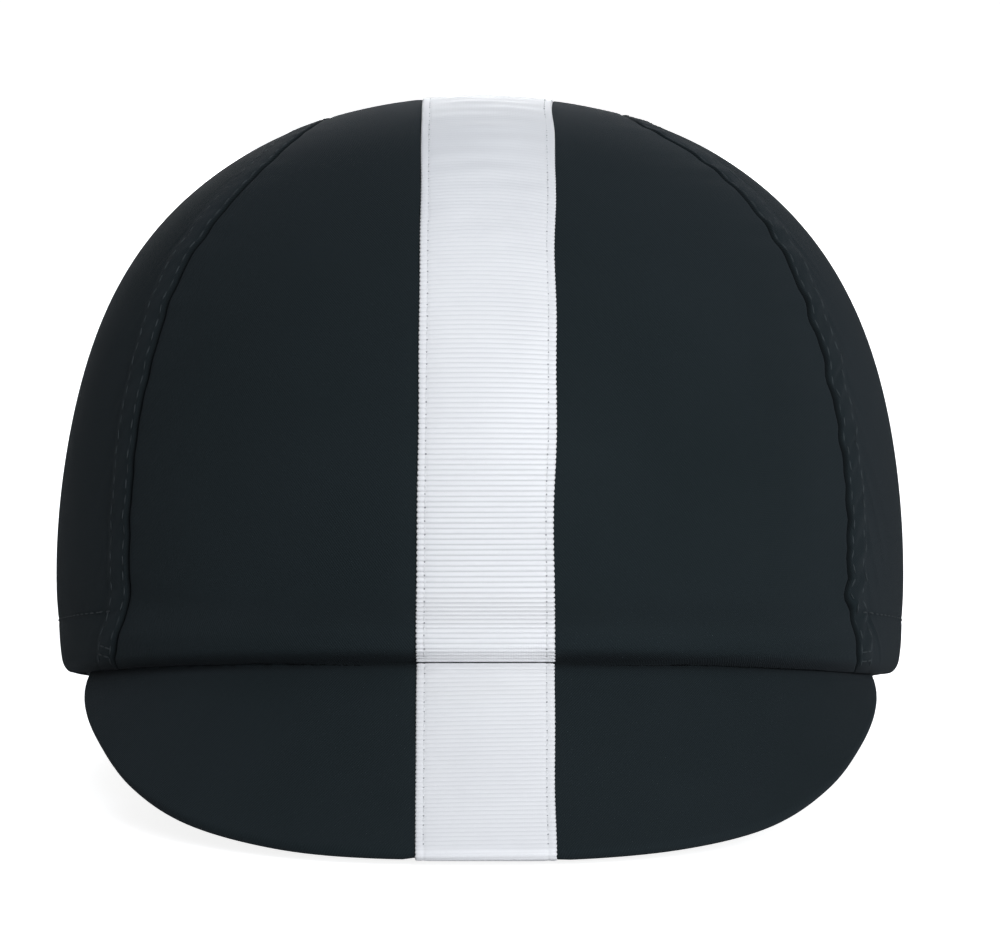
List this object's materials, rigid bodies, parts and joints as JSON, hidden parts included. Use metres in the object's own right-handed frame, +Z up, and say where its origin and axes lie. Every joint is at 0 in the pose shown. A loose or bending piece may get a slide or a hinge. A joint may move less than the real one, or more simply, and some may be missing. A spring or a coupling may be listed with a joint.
{
  "type": "cycling cap",
  "caption": "Soft cloth cycling cap with a panelled dome crown, a short turned-down peak and a ribbed ribbon down the middle, resting on its peak and back hem.",
  "frame": {"origin": "middle of the footprint, on the surface that the cap rests on", "axes": "+Z up, -Y towards the wearer's front, +X towards the viewer's right when the cap is seen from the front"},
  "size_m": [0.1654, 0.2378, 0.132],
  "materials": {
    "cloth": "matt cotton twill",
    "peak_cloth": "matt cotton twill over a stiff core",
    "ribbon": "ribbed grosgrain"
  },
  "bodies": {
    "root": {"centre_panel": "cloth", "side_panel_left": "cloth", "side_panel_right": "cloth", "crown_ribbon": "ribbon", "peak": "peak_cloth", "peak_ribbon": "ribbon"}
  },
  "joints": []
}
